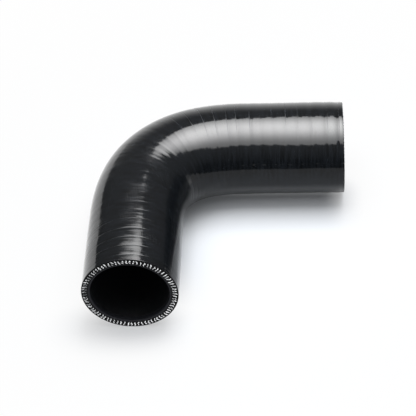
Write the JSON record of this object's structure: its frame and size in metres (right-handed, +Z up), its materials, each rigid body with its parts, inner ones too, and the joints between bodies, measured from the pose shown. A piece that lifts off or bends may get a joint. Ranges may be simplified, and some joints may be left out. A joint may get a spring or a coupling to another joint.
{
  "type": "silicone elbow hose",
  "caption": "Right-angle elbow hose of black fabric-reinforced silicone rubber, equal straight legs, smooth bore, square-cut ends, for joining coolant or intake pipes.",
  "frame": {"origin": "under the middle of the hose's footprint, on the surface it lies on", "axes": "+X is the way the side leg's open end faces, -Y is the way the front leg's open end faces, +Z is up and square to the plane of the bend"},
  "size_m": [0.1252, 0.1252, 0.0464],
  "materials": {
    "silicone_rubber": "semi-gloss black silicone with fine tape-wrap bands"
  },
  "bodies": {
    "root": {"elbow_hose": "silicone_rubber"}
  },
  "joints": []
}
